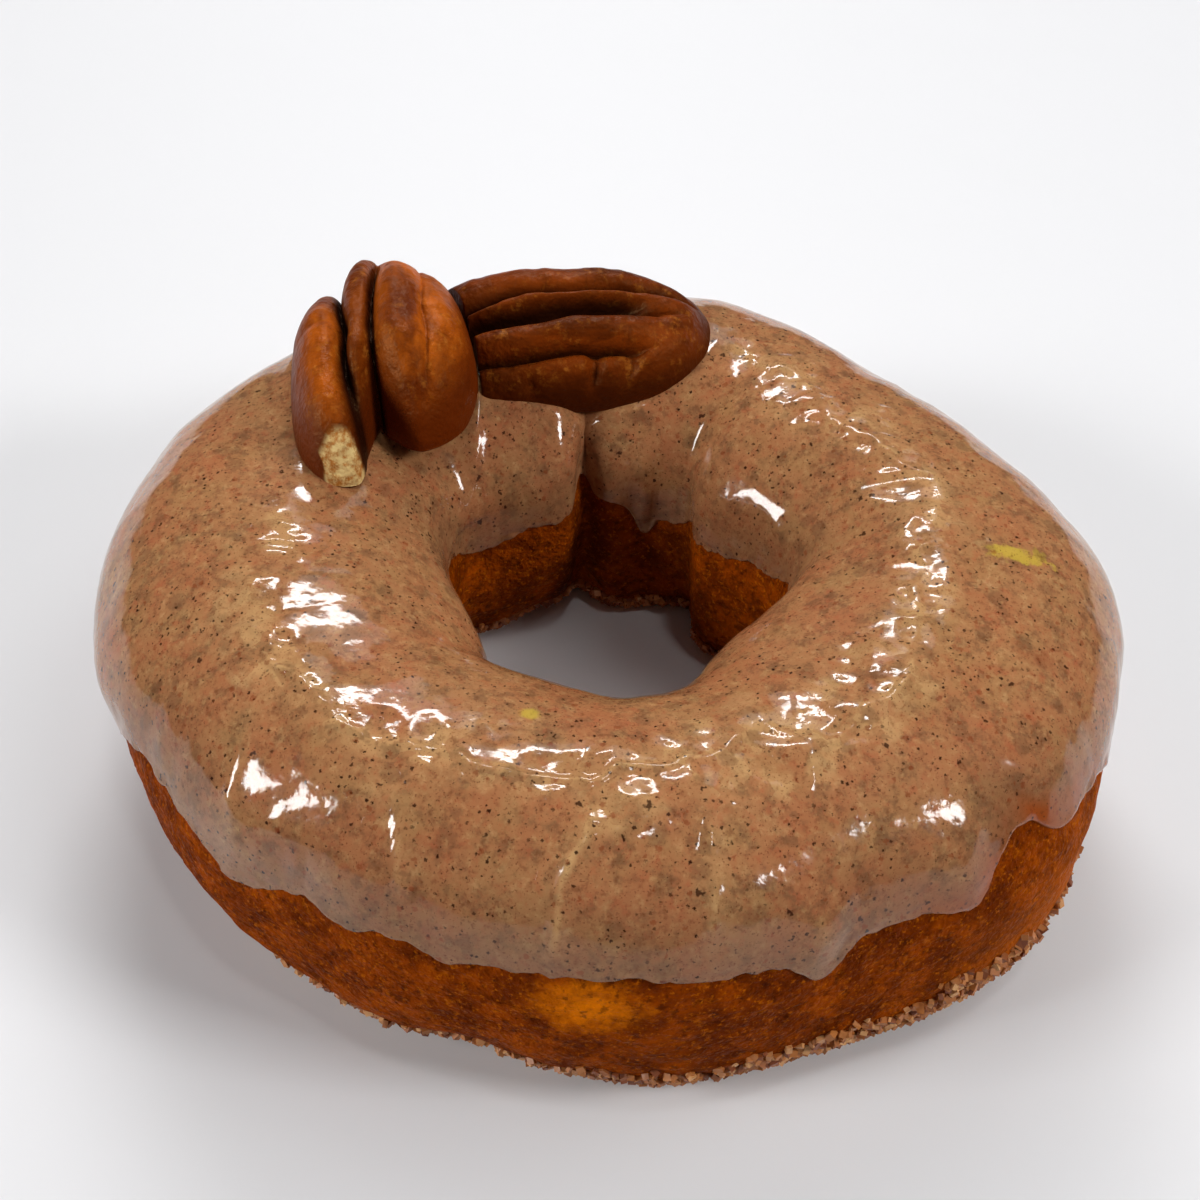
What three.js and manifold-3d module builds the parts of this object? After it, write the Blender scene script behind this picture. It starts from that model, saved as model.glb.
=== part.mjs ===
// Pumpkin spice doughnut: a fried ring of dough with a thin spice glaze poured over its top, two
// pecan halves set in the glaze, and coarse sugar round its foot.
// Millimetres, +Z up. The origin is on the surface that it stands on, under the middle of its box.
// Angles go round the ring in degrees from +X, and the front of the doughnut is at 270 degrees.
import * as THREE from 'three';
import { mergeVertices } from 'three/addons/utils/BufferGeometryUtils.js';
import Module from 'manifold-3d';

// Ring of dough
const OUTER_RADIUS = 45.2;
const HOLE_RADIUS = 13.6;
const DOUGH_HEIGHT = 29.2;
const WIDEST_HEIGHT = 15;
const ROUNDING_ABOVE = 2.25;
const ROUNDING_BELOW = 2.3;
const HOLE_ROUNDING_BELOW = 2.4;
const FLAT_CUT = 1.5;
const RING_MIDDLE = new THREE.Vector2(-0.19, -0.67);

// Swells of the ring, each [angle, amount, spread]: how far it bulges, round which angle
const OUTER_SWELLS = [
  [0, 3, 17], [45, -2.7, 26], [165, 3.4, 34], [224, 0.8, 8], [240, -1.4, 20], [256, -0.9, 8],
  [270, -0.6, 16], [300, -1.7, 14], [325, 3.8, 24],
];
const HOLE_SWELLS = [
  [272, 3, 28], [99, 3.4, 6], [92, 1, 7], [74, 3.9, 15], [60, 2.3, 7.5], [150, 3.2, 20],
  [178, 1, 14], [4, 3.3, 24], [230, 1.5, 14], [262, -0.6, 10], [298, 1.4, 12],
];

// How much squarer than elsewhere the ring's lower part is, outside and in the hole, in the same form
const OUTER_SQUARENESS = [[200, -0.5, 20], [243, 0.4, 14], [256, -0.3, 8], [300, 1.3, 22], [335, 1.6, 18]];
const HOLE_SQUARENESS = [[80, 2.4, 16], [45, 2, 16], [135, 0.8, 14]];

// Glaze
const GLAZE_THICKNESS = 1.3;
const SKIN_GAP = 0.35;
const LIP_SHARE = 0.5;
const OUTER_EDGE_HEIGHT = 20.5;
const HOLE_EDGE_HEIGHT = 17.5;
const OUTER_RUNS = [
  [0, -7.5, 13], [38, -4, 16], [75, -5.5, 14], [125, -4.5, 16], [172, -7.5, 18], [194, -6.5, 10],
  [229, -2.6, 4.5], [242, -1.2, 4], [254, -1.2, 4], [271, 0.9, 8], [294, -2.6, 3], [311, -1.2, 2.5],
  [319, 3.6, 5.5], [329, 0.8, 4], [341, -2.2, 6],
];
const HOLE_RUNS = [
  [0, 3.6, 12], [22, 1.3, 10], [66, -2.6, 7], [77, -4.6, 5], [101, 2.6, 5], [142, -1.8, 12],
  [168, 1.8, 12], [215, -2, 14], [300, -3, 16],
];

// Pecan halves: size, the place of the middle of the flat side, and how the half is turned.
// Places go from -1 to 1 along each half and across it. Blunt is how square the ends are: the near
// end on its two sides, then the far end. Lobe, trim, cleft, knob and short say how far the near
// and far ends of the lobes and of the ridge between them are drawn out or in.
// Grooves are [place across, drift along, bow, depth, places along where they start and end].
// Valleys are [place across, drift along, width, depth, place along where they end].
const PECAN_LEFT = {
  length: 27.5, width: 19, crown: 8.7, belly: 1.8, tip: 0.05, blunt: [3.3, 2.6, 2.6],
  lobe: 2.5, trim: 2, cleft: 2.4, knob: 1.2, short: 2,
  middle: [-22.9, 18.9, 31.9], turn: 101, roll: 0,
  grooves: [
    [0.36, 0.06, -0.06, 0.6, -2, 1.2],
    [0.08, -0.1, 0.1, 0.5, -2, 0.9],
    [-0.46, -0.08, 0.08, 0.15, -1, 1.2],
  ],
  valleys: [[0.22, 0, 0.12, 0.16, 0.5]],
};
const PECAN_BACK = {
  length: 31, width: 17, crown: 7.6, belly: 1.8, tip: 0.06, blunt: [4, 4, 2.6],
  lobe: 0, trim: 0, cleft: 0, knob: 0, short: 0,
  middle: [-4.6, 26.5, 29.4], turn: 7, roll: 17,
  grooves: [
    [0.34, 0.12, 0.08, 0.5, -2, 0.95],
    [-0.08, 0.14, 0, 0.4, -2, 0.8],
    [-0.55, 0, -0.06, 0.5, -2, 0.6],
  ],
  valleys: [[0.06, 0.14, 0.13, 0.5, 0.45]],
};

// Form that both halves share: how far the ends bend down, how full the round side is, how round the
// rolls are and where past the rim the outer two would come down, over what length grooves and
// valleys fade, and how deeply the grooves notch the ends
const PECAN_ARCH = 1.8;
const PECAN_DOME = 2.8;
const ROLL_ROUNDNESS = 0.42;
const RIDGE_ROUNDNESS = 0.6;
const ROLLS_END = 1.35;
const GROOVE_FADE = 0.3;
const VALLEY_FADE = 0.2;
const END_NOTCH = 0.2;

// Gap under a half, and the share by which the room that the other half keeps clear of it is larger
const SEAT_GAP = 0.3;
const NUT_ROOM = 0.04;

// Coarse sugar round the foot
const SUGAR_COUNT = 112;
const SUGAR_SIZE = 1.15;
const SUGAR_LOW = -62;
const SUGAR_HIGH = -24;

// Steps of the faceted surfaces
const ROUND_STEPS = 72;
const DOUGH_STEPS = 28;
const GLAZE_STEPS = 11;
const PECAN_STEPS = 20;
const ROLL_STEPS = [4, 3, 4, 3];

const wasm = await Module();
wasm.setup();

// Sum of smooth swells at an angle round the ring
function swell(angle, swells) {
  let sum = 0;
  for (const [middle, amount, spread] of swells) {
    const away = THREE.MathUtils.euclideanModulo(angle - middle + 180, 360) - 180;
    sum += amount * Math.exp(-((away / spread) ** 2));
  }
  return sum;
}

// How round the ring's lower part is, outside or in the hole, from a circle's 2 upwards
function roundingBelow(angle, inHole) {
  if (inHole) {
    return HOLE_ROUNDING_BELOW + swell(angle, HOLE_SQUARENESS);
  }
  return ROUNDING_BELOW + swell(angle, OUTER_SQUARENESS);
}

// Point of the ring's surface grown by an offset: angle round the ring, tilt round its section
function ringPoint(angle, tilt, offset) {
  const outer = OUTER_RADIUS + swell(angle, OUTER_SWELLS) + offset;
  const hole = HOLE_RADIUS + swell(angle, HOLE_SWELLS) - offset;
  const across = Math.cos(tilt);
  const up = Math.sin(tilt);
  const power = 2 / (up >= 0 ? ROUNDING_ABOVE : roundingBelow(angle, across < 0));
  const side = Math.sign(across) * Math.abs(across) ** power;
  const rise = Math.sign(up) * Math.abs(up) ** power;
  const reach = up >= 0 ? DOUGH_HEIGHT + offset - WIDEST_HEIGHT : WIDEST_HEIGHT + FLAT_CUT + offset;
  const radius = (outer + hole) / 2 + ((outer - hole) / 2) * side;
  const turn = THREE.MathUtils.degToRad(angle);
  const height = Math.max(WIDEST_HEIGHT + reach * rise, 0);
  return new THREE.Vector3(radius * Math.cos(turn), radius * Math.sin(turn), height);
}

// Tilt at which the glaze ends at a height, measured from the level of the ring's widest place
function edgeTilt(angle, height, inHole) {
  if (height >= WIDEST_HEIGHT) {
    const share = (height - WIDEST_HEIGHT) / (DOUGH_HEIGHT - WIDEST_HEIGHT);
    return Math.asin(share ** (ROUNDING_ABOVE / 2));
  }
  const share = (WIDEST_HEIGHT - height) / (WIDEST_HEIGHT + FLAT_CUT);
  return -Math.asin(share ** (roundingBelow(angle, inHole) / 2));
}

// Closed skin through loops of points, each loop as long as the next and the last joined to the first
function ringSkin(loops) {
  const points = loops.flat();
  const size = loops[0].length;
  const faces = [];
  for (let i = 0; i < loops.length; i++) {
    const next = (i + 1) % loops.length;
    for (let j = 0; j < size; j++) {
      const after = (j + 1) % size;
      faces.push(i * size + j, next * size + j, next * size + after);
      faces.push(i * size + j, next * size + after, i * size + after);
    }
  }
  return new THREE.BufferGeometry().setFromPoints(points).setIndex(faces);
}

// Whole ring grown by an offset
function ringGeometry(offset) {
  const loops = [];
  for (let i = 0; i < ROUND_STEPS; i++) {
    const loop = [];
    for (let j = 0; j < DOUGH_STEPS; j++) {
      loop.push(ringPoint((360 * i) / ROUND_STEPS, (2 * Math.PI * j) / DOUGH_STEPS, offset));
    }
    loops.push(loop);
  }
  return ringSkin(loops);
}

// Thin shell of glaze over the top, from its wavy outer edge to its wavy edge in the hole
function glazeGeometry() {
  const loops = [];
  for (let i = 0; i < ROUND_STEPS; i++) {
    const angle = (360 * i) / ROUND_STEPS;
    const from = edgeTilt(angle, OUTER_EDGE_HEIGHT + swell(angle, OUTER_RUNS), false);
    const to = Math.PI - edgeTilt(angle, HOLE_EDGE_HEIGHT + swell(angle, HOLE_RUNS), true);
    const top = [];
    const under = [];
    for (let j = 0; j <= GLAZE_STEPS; j++) {
      const tilt = from + ((to - from) * j) / GLAZE_STEPS;
      const atEdge = j === 0 || j === GLAZE_STEPS;
      const thickness = GLAZE_THICKNESS * (atEdge ? LIP_SHARE : 1) - SKIN_GAP * (atEdge ? 0 : 1);
      top.push(ringPoint(angle, tilt, SKIN_GAP + thickness));
      under.unshift(ringPoint(angle, tilt, SKIN_GAP));
    }
    loops.push([...top, ...under]);
  }
  return ringSkin(loops);
}

// Places across where a half's grooves lie at a place along it
function grooveLines(pecan, along) {
  return pecan.grooves.map(([place, drift, bow]) => place + drift * along - bow * along ** 2);
}

// How high the roll between two grooves stands at a point, from 0 in a groove to 1, and the depth
// of the grooves there
function rollAt(pecan, along, across) {
  const { smoothstep, clamp } = THREE.MathUtils;
  const edges = [ROLLS_END, ...grooveLines(pecan, along), -ROLLS_END];
  const depths = pecan.grooves.map(([, , , depth, start, end]) => {
    const begun = smoothstep(along, start, start + GROOVE_FADE);
    return depth * begun * (1 - smoothstep(along, end - GROOVE_FADE, end));
  });
  const beside = [0, ...depths, 0];
  const at = clamp(edges.findIndex((edge) => across >= edge), 1, edges.length - 1);
  const share = clamp((across - edges[at]) / (edges[at - 1] - edges[at]), 0, 1);
  const height = (4 * share * (1 - share)) ** ROLL_ROUNDNESS;
  const depth = beside[at] + (beside[at - 1] - beside[at]) * smoothstep(share, 0.3, 0.7);
  return { height, depth, onRidge: at === 2 };
}

// Where a point of a half lies in plan, and its share of the way from the middle to the rim
function pecanPlan(pecan, along, across) {
  const { smoothstep } = THREE.MathUtils;
  const roundX = along * Math.sqrt(1 - across ** 2 / 2);
  const roundY = across * Math.sqrt(1 - along ** 2 / 2);
  const reach = Math.hypot(roundX, roundY);
  const turn = Math.atan2(roundY, roundX);
  const [nearUpper, nearLower, far] = pecan.blunt;
  const near = nearLower + (nearUpper - nearLower) * smoothstep(across, -0.4, 0.4);
  const blunt = along < 0 ? near : far;
  const rim = (Math.abs(Math.cos(turn)) ** blunt + Math.abs(Math.sin(turn)) ** blunt) ** (-1 / blunt);
  const roll = rollAt(pecan, along, across);
  const ridge = roll.onRidge ? roll.height ** RIDGE_ROUNDNESS : 0;
  const nearEnd = smoothstep(-along, 0.1, 1);
  const onLobe = smoothstep(across, 0.1, 0.5);
  const trim = pecan.trim + pecan.cleft * smoothstep(across, -0.45, 0.1);
  const drawnOut = pecan.lobe * onLobe - trim * nearEnd * (1 - onLobe);
  const ridgeOut = ridge * (pecan.knob * smoothstep(along, 0.5, 1) + pecan.short * nearEnd);
  const scallop = 1 - END_NOTCH * roll.depth * (1 - roll.height) * along ** 4;
  const x = (pecan.length / 2) * rim * reach * Math.cos(turn) * scallop - drawnOut + ridgeOut;
  const y = (pecan.width / 2) * rim * reach * Math.sin(turn) * (1 - pecan.tip * (along + 1));
  return { x, y, reach: Math.min(reach, 1) };
}

// Points of a half's round side and of its flat side at a place on it
function pecanPoints(pecan, along, across) {
  const { x, y, reach } = pecanPlan(pecan, along, across);
  const roll = rollAt(pecan, along, across);
  let cut = roll.depth * (1 - roll.height);
  for (const [place, drift, width, depth, end] of pecan.valleys) {
    const fade = 1 - THREE.MathUtils.smoothstep(along, end - VALLEY_FADE, end + VALLEY_FADE);
    cut += depth * fade * Math.exp(-(((across - place - drift * along) / width) ** 2));
  }
  const arch = PECAN_ARCH * along ** 2;
  const dome = pecan.crown * Math.sqrt(1 - reach ** PECAN_DOME);
  const belly = pecan.belly * Math.sqrt(1 - reach ** 2);
  return [new THREE.Vector3(x, y, dome * (1 - cut) - arch), new THREE.Vector3(x, y, -belly - arch)];
}

// Places across, from 1 to -1, that follow the grooves at a place along a half
function rollPlaces(pecan, along) {
  const edges = [1, ...grooveLines(pecan, along), -1];
  const places = ROLL_STEPS.flatMap((steps, i) => {
    return Array.from({ length: steps }, (_, k) => edges[i] + ((edges[i + 1] - edges[i]) * k) / steps);
  });
  return [...places, -1];
}

// One pecan half lying on its flat side along X, closed all round
function pecanGeometry(pecan) {
  const rows = [];
  for (let i = 0; i <= PECAN_STEPS; i++) {
    const along = -Math.cos((Math.PI * i) / PECAN_STEPS);
    rows.push(rollPlaces(pecan, along).map((across) => pecanPoints(pecan, along, across)));
  }
  const points = [...rows.flat().map(([top]) => top), ...rows.flat().map(([, under]) => under)];
  const size = rows[0].length;
  const under = rows.length * size;
  const faces = [];
  for (let i = 0; i < rows.length - 1; i++) {
    for (let j = 0; j < size - 1; j++) {
      const [a, b, c, d] = [i * size + j, i * size + j + 1, (i + 1) * size + j + 1, (i + 1) * size + j];
      faces.push(a, b, c, a, c, d);
      faces.push(under + a, under + c, under + b, under + a, under + d, under + c);
    }
  }
  return new THREE.BufferGeometry().setFromPoints(points).setIndex(faces);
}

// Upright block over a half's plan grown a little, which keeps its neighbour out of its way
function roomFor(pecan) {
  const depth = 4 * pecan.crown;
  const rim = [];
  for (let i = 0; i < 4 * PECAN_STEPS; i++) {
    const side = Math.floor(i / PECAN_STEPS);
    const place = (2 * (i % PECAN_STEPS)) / PECAN_STEPS - 1;
    const [along, across] = [[place, -1], [1, place], [-place, 1], [-1, -place]][side];
    const { x, y } = pecanPlan(pecan, along, across);
    rim.push(new THREE.Vector2(x, y).multiplyScalar(1 + NUT_ROOM));
  }
  const block = new THREE.ExtrudeGeometry(new THREE.Shape(rim), { depth, bevelEnabled: false });
  return toSolid(block.translate(0, 0, -depth / 2).applyMatrix4(pecanPose(pecan)));
}

function toSolid(geometry) {
  const bare = geometry.clone();
  bare.deleteAttribute('normal');
  bare.deleteAttribute('uv');
  const merged = mergeVertices(bare, 1e-5);
  const mesh = new wasm.Mesh({
    numProp: 3,
    vertProperties: new Float32Array(merged.attributes.position.array),
    triVerts: new Uint32Array(merged.index.array),
  });
  return new wasm.Manifold(mesh);
}

function toGeometry(solid) {
  const { vertProperties, triVerts } = solid.getMesh();
  const geometry = new THREE.BufferGeometry();
  geometry.setAttribute('position', new THREE.BufferAttribute(new Float32Array(vertProperties), 3));
  geometry.setIndex(new THREE.BufferAttribute(new Uint32Array(triVerts), 1));
  geometry.computeVertexNormals();
  return geometry;
}

// Repeatable random numbers between 0 and 1
function seededRandom(seed) {
  let state = seed;
  return () => {
    state = (state * 16807) % 2147483647;
    return state / 2147483647;
  };
}

// Dough with coarse sugar crystals half sunk round its foot
function doughGeometry() {
  const random = seededRandom(271);
  let solid = toSolid(ringGeometry(0));
  for (let i = 0; i < SUGAR_COUNT; i++) {
    const angle = (360 * (i + random())) / SUGAR_COUNT;
    const tilt = THREE.MathUtils.degToRad(SUGAR_LOW + (SUGAR_HIGH - SUGAR_LOW) * random());
    const size = SUGAR_SIZE * (0.8 + 0.4 * random());
    const crystal = new THREE.BoxGeometry(size * 1.2, size, size * 0.9);
    const spin = new THREE.Euler(random() * Math.PI, random() * Math.PI, random() * Math.PI);
    const place = ringPoint(angle, tilt, 0);
    place.z = Math.max(place.z, size);
    const pose = new THREE.Matrix4().makeRotationFromEuler(spin).setPosition(place);
    solid = solid.add(toSolid(crystal.applyMatrix4(pose)));
  }
  return toGeometry(solid);
}

function pecanPose(pecan) {
  const { degToRad } = THREE.MathUtils;
  const turn = new THREE.Euler(degToRad(pecan.roll), 0, degToRad(pecan.turn), 'ZYX');
  return new THREE.Matrix4().makeRotationFromEuler(turn).setPosition(...pecan.middle);
}

// Pecan half turned into its place, its underside cut to sit on the glaze
function seatedPecan(pecan, seat) {
  return toSolid(pecanGeometry(pecan).applyMatrix4(pecanPose(pecan))).subtract(seat);
}

function addPiece(group, name, geometry, colour, roughness) {
  const material = new THREE.MeshStandardMaterial({ color: colour, roughness, metalness: 0 });
  const mesh = new THREE.Mesh(geometry, material);
  mesh.name = name;
  group.add(mesh);
}

const doughnut = new THREE.Group();
const seat = toSolid(ringGeometry(GLAZE_THICKNESS + SEAT_GAP));
addPiece(doughnut, 'dough', doughGeometry(), 0xb9651c, 0.7);
addPiece(doughnut, 'glaze', glazeGeometry(), 0xa87b5e, 0.2);
const pecanLeft = seatedPecan(PECAN_LEFT, seat);
const pecanBack = seatedPecan(PECAN_BACK, seat).subtract(roomFor(PECAN_LEFT));
addPiece(doughnut, 'pecan_left', toGeometry(pecanLeft), 0x8f4518, 0.45);
addPiece(doughnut, 'pecan_back', toGeometry(pecanBack), 0x6f3413, 0.5);
doughnut.position.set(RING_MIDDLE.x, RING_MIDDLE.y, 0);

export default doughnut;
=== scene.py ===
import math

import bpy
import numpy as np
from mathutils import Matrix, Vector


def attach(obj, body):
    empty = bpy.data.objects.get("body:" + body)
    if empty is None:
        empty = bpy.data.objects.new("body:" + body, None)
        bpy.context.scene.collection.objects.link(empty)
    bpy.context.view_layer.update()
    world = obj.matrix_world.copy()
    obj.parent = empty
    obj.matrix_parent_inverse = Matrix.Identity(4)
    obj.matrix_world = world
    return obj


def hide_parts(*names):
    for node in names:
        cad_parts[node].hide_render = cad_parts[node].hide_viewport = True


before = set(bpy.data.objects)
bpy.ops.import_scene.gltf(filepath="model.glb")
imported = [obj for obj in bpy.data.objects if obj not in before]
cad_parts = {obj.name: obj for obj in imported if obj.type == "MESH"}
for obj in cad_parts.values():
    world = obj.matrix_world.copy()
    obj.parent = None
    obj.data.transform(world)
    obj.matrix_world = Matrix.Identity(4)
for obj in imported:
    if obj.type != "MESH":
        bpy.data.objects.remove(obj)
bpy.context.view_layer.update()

# Pumpkin spice doughnut: a fried ring with a speckled spice glaze over its top, two pecan halves
# set in the glaze, and coarse cinnamon sugar round its foot.
# Sizes are millimetres round the middle of the ring, and every mesh is scaled to metres as it is made.
# Angles go round the ring in degrees from +X, and the front of the doughnut is at 270 degrees.
MM = 0.001

# Ring of dough
OUTER_RADIUS = 45.2
HOLE_RADIUS = 13.6
DOUGH_HEIGHT = 29.2
WIDEST_HEIGHT = 15.0
ROUNDING_ABOVE = 2.25
ROUNDING_BELOW = 2.3
HOLE_ROUNDING_BELOW = 2.4
FLAT_CUT = 1.5
RING_MIDDLE = (-0.19, -0.67, 0.0)
OUTER_SWELLS = [
    (0, 3, 17), (45, -2.7, 26), (165, 3.4, 34), (224, 0.8, 8), (240, -1.4, 20), (256, -0.9, 8),
    (270, -0.6, 16), (300, -1.7, 14), (325, 3.8, 24),
]
HOLE_SWELLS = [
    (272, 3, 28), (99, 3.4, 6), (92, 1, 7), (74, 3.9, 15), (60, 2.3, 7.5), (150, 3.2, 20),
    (178, 1, 14), (4, 3.3, 24), (230, 1.5, 14), (262, -0.6, 10), (298, 1.4, 12),
]
OUTER_SQUARENESS = [(200, -0.5, 20), (243, 0.4, 14), (256, -0.3, 8), (300, 1.3, 22), (335, 1.6, 18)]
HOLE_SQUARENESS = [(80, 2.4, 16), (45, 2, 16), (135, 0.8, 14)]

# Glaze: its thickness, where it ends on the outside and in the hole, and its runs and notches
GLAZE_THICKNESS = 1.3
GLAZE_LIP = 0.35
OUTER_EDGE_HEIGHT = 20.5
HOLE_EDGE_HEIGHT = 17.5
OUTER_RUNS = [
    (0, -7.5, 13), (38, -4, 16), (75, -5.5, 14), (125, -4.5, 16), (172, -7.5, 18), (194, -6.5, 10),
    (229, -2.6, 4.5), (242, -1.2, 4), (254, -1.2, 4), (271, 0.9, 8), (294, -2.6, 3), (311, -1.2, 2.5),
    (319, 3.6, 5.5), (329, 0.8, 4), (341, -2.2, 6),
]
HOLE_RUNS = [
    (0, 3.6, 12), (22, 1.3, 10), (66, -2.6, 7), (77, -4.6, 5), (101, 2.6, 5), (142, -1.8, 12),
    (168, 1.8, 12), (215, -2, 14), (300, -3, 16),
]

# Folds of the set glaze, as (angle, radius) along each one: the long fold round the crest, and
# the folds that run down the front
CREST_FOLD = [
    (192, 32.0), (203, 32.8), (220, 33.8), (234, 33.6), (248, 32.1), (262, 32.6), (273, 31.0),
    (285, 30.8), (296, 28.7), (304, 31.5), (320, 32.3), (334, 29.7), (350, 29.2), (368, 31.3),
    (382, 28.0), (394, 26.1), (413, 28.2), (424, 29.0),
]
FRONT_FOLDS = [
    [(286, 30.7), (284, 35.6), (283, 39.3), (282, 41.4), (283, 43.6)],
    [(271, 32.6), (269, 35.2), (267, 37.4), (266, 41.2), (266, 43.0)],
    [(242, 33.7), (246, 37.2), (249, 40.8)],
    [(219, 34.6), (222, 37.4), (225, 40.2), (227, 42.4)],
]
SMALL_FOLDS = 90

# Pecan halves: size, the place of the middle of the flat side, and how the half is turned.
# Places go from -1 to 1 along each half and across it. Blunt is how square the ends are: the near
# end on its two sides, then the far end. Lobe, trim, cleft, knob and short say how far the ends of
# the lobes and of the ridge between them are drawn out or in.
# Grooves are (place across, drift along, bow, depth, places along where they start and end).
# Valleys are (place across, drift along, width, depth, place along where they end).
# Dents are (place along, place across, length, width, depth).
PECAN_LEFT = dict(
    length=27.5, width=19.0, crown=8.7, belly=1.8, tip=0.05, blunt=(3.3, 2.6, 2.6),
    lobe=2.5, trim=2.0, cleft=2.4, knob=1.2, short=2.0,
    middle=(-22.9, 18.9, 31.9), turn=101.0, roll=0.0,
    grooves=[
        (0.36, 0.06, -0.06, 0.6, -2.0, 1.2), (0.08, -0.1, 0.1, 0.5, -2.0, 0.9),
        (-0.46, -0.08, 0.08, 0.15, -1.0, 1.2),
    ],
    valleys=[(0.22, 0.0, 0.12, 0.16, 0.5)],
    dents=[(-0.15, -0.5, 0.1, 0.12, 0.4), (0.1, 0.72, 0.08, 0.2, 0.4), (-0.25, -0.2, 0.06, 0.15, 0.25)],
)
PECAN_BACK = dict(
    length=31.0, width=17.0, crown=7.6, belly=1.8, tip=0.06, blunt=(4.0, 4.0, 2.6),
    lobe=0.0, trim=0.0, cleft=0.0, knob=0.0, short=0.0,
    middle=(-4.6, 26.5, 29.4), turn=7.0, roll=17.0,
    grooves=[
        (0.34, 0.12, 0.08, 0.5, -2.0, 0.95), (-0.08, 0.14, 0.0, 0.4, -2.0, 0.8),
        (-0.55, 0.0, -0.06, 0.5, -2.0, 0.6),
    ],
    valleys=[(0.06, 0.14, 0.13, 0.5, 0.45)],
    dents=[(0.14, -0.78, 0.06, 0.22, 1.4), (0.4, -0.72, 0.06, 0.22, 1.2), (-0.35, -0.85, 0.06, 0.12, 0.5)],
)
PECAN_ARCH = 1.8
ROLL_ROUNDNESS = 0.42

# Coarse sugar
SUGAR_SIZE = 0.56
SUGAR_AT_FOOT = 9500
SUGAR_DRIFTS = [(282, 2.6, 26), (320, 4.8, 22), (350, 2.0, 20), (110, 2.0, 60)]
SUGAR_UNDERNEATH = 2300

# Colours as seen by eye, 0 to 255
GLAZE_TAN = (168, 117, 76)
GLAZE_ROSE = (168, 96, 62)
GLAZE_OLIVE = (162, 124, 78)
# Painted shade: the glaze's colour low down, towards its lower edges
GLAZE_PAINTED_SHADE_LOW = (112, 78, 54)
GLAZE_BLUSH = (170, 86, 54)
GLAZE_CREAM = (206, 164, 110)
GLAZE_THIN = (148, 70, 24)
SPICE_DARK = (44, 18, 9)
SPICE_BROWN = (100, 48, 24)
SPICE_GREY = (104, 72, 48)
SPICE_RUST = (128, 52, 22)
SMEAR_YELLOW = (196, 168, 60)
CRUST_BROWN = (98, 36, 1)
CRUST_ORANGE = (150, 64, 1)
CRUST_GOLD = (196, 104, 10)
# Painted shade on the crust over the back
CRUST_PAINTED_SHADE_BEHIND = (112, 52, 16)
# Painted light on the crust's right side
CRUST_PAINTED_LIGHT = (196, 100, 28)
CRUST_AMBER = (236, 126, 4)
CRUST_DARK = (60, 18, 0)
SUGAR_GOLD = (180, 110, 50)
SUGAR_PALE = (216, 162, 106)
SUGAR_BROWN = (124, 60, 20)
# NUT_AMBER and NUT_CHESTNUT are the crown colours of the two halves, partly painted highlight
NUT_AMBER = (190, 92, 12)
NUT_BROWN = (102, 38, 3)
NUT_CHESTNUT = (138, 58, 8)
NUT_UMBER = (74, 27, 3)
NUT_SHEEN = (255, 196, 128)
NUT_SUNKEN = (84, 30, 4)
NUT_WORN = (206, 126, 44)
NUT_DARK = (34, 9, 2)
NUT_BRAN = (176, 112, 50)
NUT_FLESH = (226, 196, 132)
FLOOR_PALE = (230, 230, 232)

# Camera
CAMERA_ELEVATION = 46.0
CAMERA_DISTANCE = 154.0
CAMERA_AIM_HEIGHT = 14.0
CAMERA_LENS = 46.5
CAMERA_ROLL = 2.0


# Shape of the ring

def swell(angle, swells):
    """Sum of smooth swells at angles round the ring."""
    total = np.zeros_like(angle, dtype=float)
    for middle, amount, spread in swells:
        away = (angle - middle + 180.0) % 360.0 - 180.0
        total += amount * np.exp(-((away / spread) ** 2))
    return total


def ring_radii(angle):
    return OUTER_RADIUS + swell(angle, OUTER_SWELLS), HOLE_RADIUS + swell(angle, HOLE_SWELLS)


def rounding_below(angle, in_hole):
    """How round the ring's lower part is, outside or in the hole, from a circle's 2 upwards."""
    outside = ROUNDING_BELOW + swell(angle, OUTER_SQUARENESS)
    inside = HOLE_ROUNDING_BELOW + swell(angle, HOLE_SQUARENESS)
    return np.where(in_hole, inside, outside)


def ring_point(angle, tilt, offset):
    """Points of the ring's surface grown by an offset: angle round the ring, tilt round its section."""
    outer, hole = ring_radii(angle)
    outer = outer + offset
    hole = hole - offset
    across = np.cos(tilt)
    up = np.sin(tilt)
    power = np.where(up >= 0, 2.0 / ROUNDING_ABOVE, 2.0 / rounding_below(angle, across < 0))
    side = np.sign(across) * np.abs(across) ** power
    rise = np.sign(up) * np.abs(up) ** power
    reach = np.where(up >= 0, DOUGH_HEIGHT + offset - WIDEST_HEIGHT, WIDEST_HEIGHT + FLAT_CUT + offset)
    radius = (outer + hole) / 2 + (outer - hole) / 2 * side
    turn = np.radians(angle)
    height = np.maximum(WIDEST_HEIGHT + reach * rise, 0.0)
    return np.stack([radius * np.cos(turn), radius * np.sin(turn), height], -1)


def edge_tilt(angle, height, in_hole):
    """Tilt at which the glaze ends at a height, measured from the level of the ring's widest place."""
    above = np.clip((height - WIDEST_HEIGHT) / (DOUGH_HEIGHT - WIDEST_HEIGHT), 0.0, 1.0)
    below = np.clip((WIDEST_HEIGHT - height) / (WIDEST_HEIGHT + FLAT_CUT), 0.0, 1.0)
    return np.arcsin(above ** (ROUNDING_ABOVE / 2)) - np.arcsin(below ** (rounding_below(angle, in_hole) / 2))


def top_tilt(angle, radius):
    """Tilt of the point on the ring's top at a radius."""
    outer, hole = ring_radii(angle)
    side = np.clip((radius - (outer + hole) / 2) / ((outer - hole) / 2), -1.0, 1.0)
    return np.arccos(np.sign(side) * np.abs(side) ** (ROUNDING_ABOVE / 2))


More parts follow.
